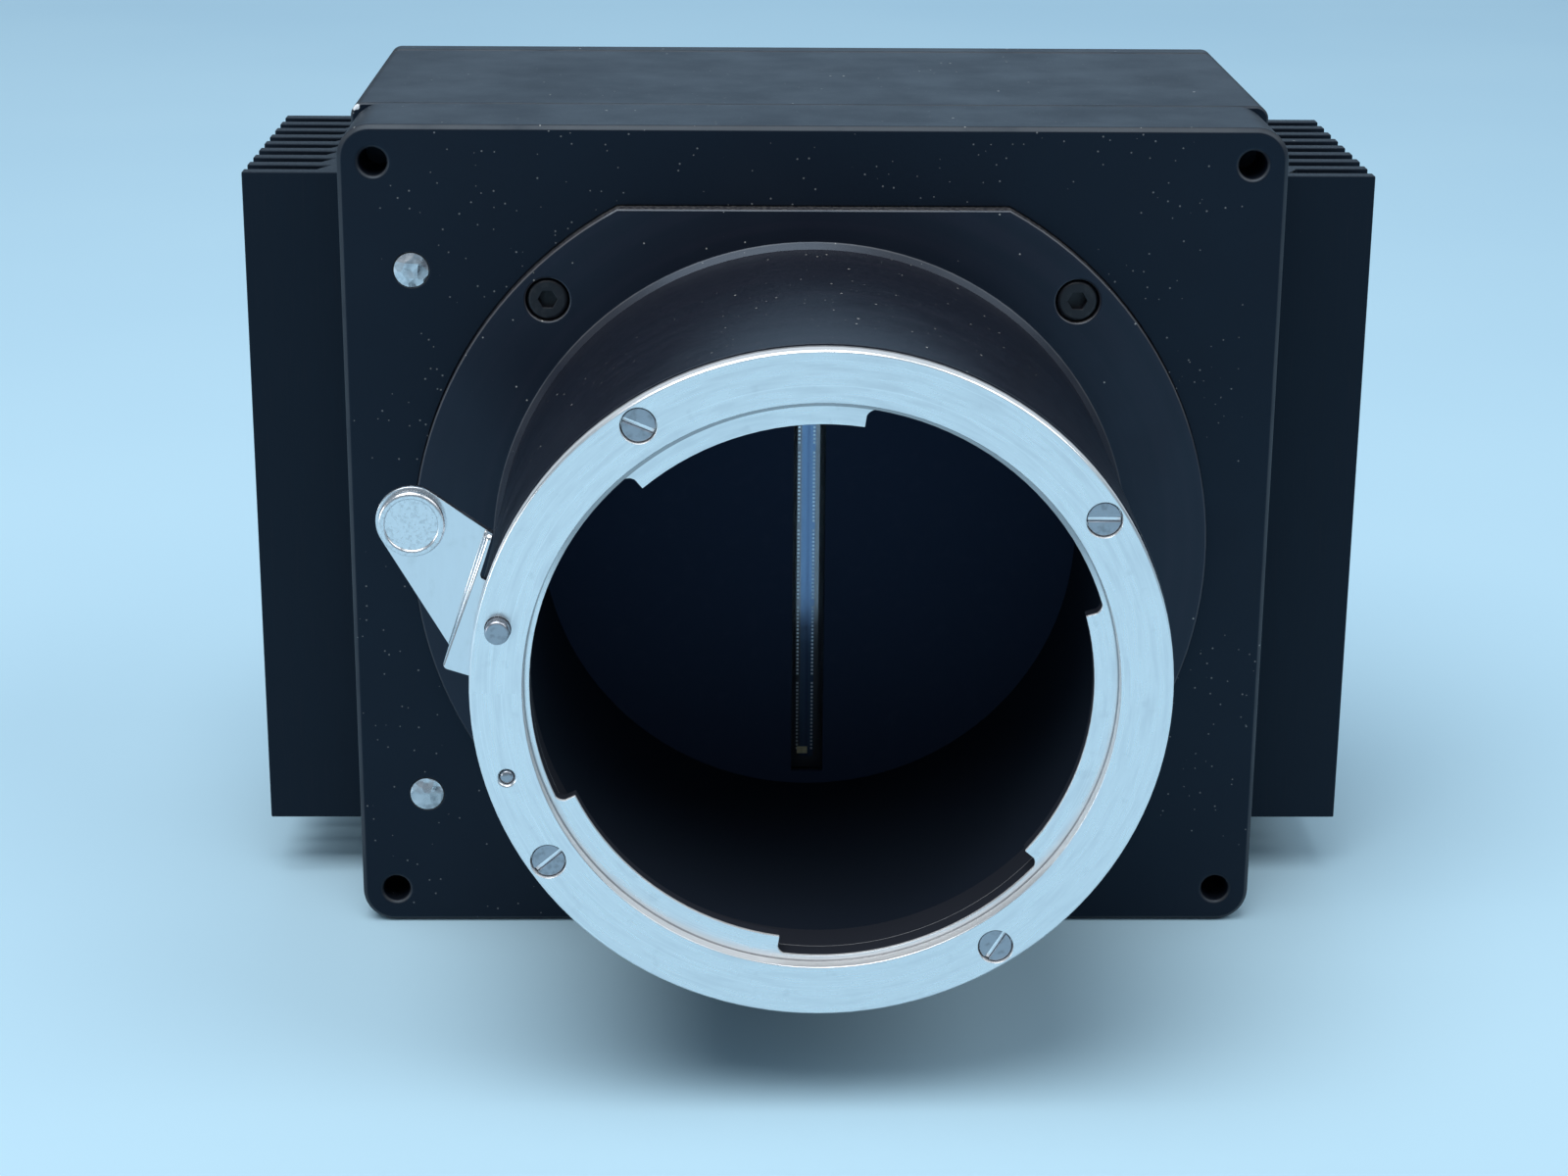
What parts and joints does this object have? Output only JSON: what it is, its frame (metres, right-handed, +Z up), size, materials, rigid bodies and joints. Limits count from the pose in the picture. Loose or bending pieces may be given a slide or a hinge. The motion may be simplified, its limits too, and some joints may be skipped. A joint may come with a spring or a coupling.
{
  "type": "line-scan camera",
  "caption": "Black line-scan camera with finned side heat sinks and a tube that carries a bright bayonet lens ring with a sprung release lever.",
  "frame": {"origin": "centre of the lens ring's front face, the plane that a lens seats on", "axes": "+Y along the optical axis from the lens seat to the rear cover, +X to the right seen from the front, +Z up"},
  "size_m": [0.105, 0.0933, 0.0762],
  "materials": {
    "black_anodised": "black anodised aluminium, satin, with dust and light edge wear",
    "sink_black": "black anodised extruded aluminium",
    "tube_black": "black anodised turned aluminium, satin sheen",
    "mount_steel": "turned and lapped stainless steel or plated brass, bright",
    "lever_steel": "bright plated sheet steel",
    "screw_steel": "bright steel",
    "screw_black": "black oxide steel",
    "plug_metal": "bright soft metal",
    "seal_rubber": "black rubber",
    "foam": "black foam",
    "mask_black": "matt black",
    "sensor_glass": "coated optical glass",
    "sensor_silicon": "polished silicon with bond pads",
    "sensor_ceramic": "black ceramic",
    "board_green": "circuit board",
    "chip_black": "moulded chip",
    "pad_grey": "soft thermal pad",
    "bridge_aluminium": "milled aluminium",
    "standoff_brass": "turned brass",
    "link_plastic": "moulded plastic",
    "coil_ferrite": "ferrite",
    "shell_nickel": "nickel-plated steel",
    "insert_plastic": "moulded black plastic",
    "contact_gold": "gold-plated contacts",
    "light_lens": "clear green-tinted plastic"
  },
  "bodies": {
    "camera": {"front_plate": "black_anodised", "body_shell": "black_anodised", "rear_cover": "black_anodised", "rear_gasket": "seal_rubber", "heat_sink_left": "sink_black", "heat_sink_right": "sink_black", "lens_adapter": "tube_black", "adapter_seal": "seal_rubber", "adapter_screws": "screw_black", "bayonet_ring": "mount_steel", "bayonet_screws": "screw_steel", "index_stud": "screw_steel", "locating_plugs": "plug_metal", "lock_spring": "screw_steel", "sensor_mask": "mask_black", "sensor_foam": "foam", "sensor_glass": "sensor_glass", "sensor_chip": "sensor_silicon", "sensor_package": "sensor_ceramic", "sensor_board": "board_green", "processor_board": "board_green", "processor_chip": "chip_black", "thermal_pad": "pad_grey", "heat_bridge": "bridge_aluminium", "socket_board": "board_green", "front_standoffs": "standoff_brass", "rear_standoffs": "standoff_brass", "board_screws": "screw_steel", "board_links": "link_plastic", "power_coils": "coil_ferrite", "data_shells": "shell_nickel", "data_inserts": "insert_plastic", "data_contacts": "contact_gold", "jack_screws": "shell_nickel", "power_shell": "shell_nickel", "power_insert": "insert_plastic", "power_pins": "contact_gold", "power_nut": "shell_nickel", "status_light": "light_lens", "body_screws": "screw_black", "heat_sink_screws": "screw_steel"},
    "lens_release": {"release_lever": "lever_steel", "release_button": "lever_steel", "lock_pin": "screw_steel"}
  },
  "joints": [
    {"name": "lens_release_slide", "type": "slide", "parent": "camera", "child": "lens_release", "axis": [0, 1, 0], "range_m": [0, 0.002], "stiffness_N_per_m": 400, "springref_m": -0.004, "deforming": ["lock_spring"]}
  ]
}
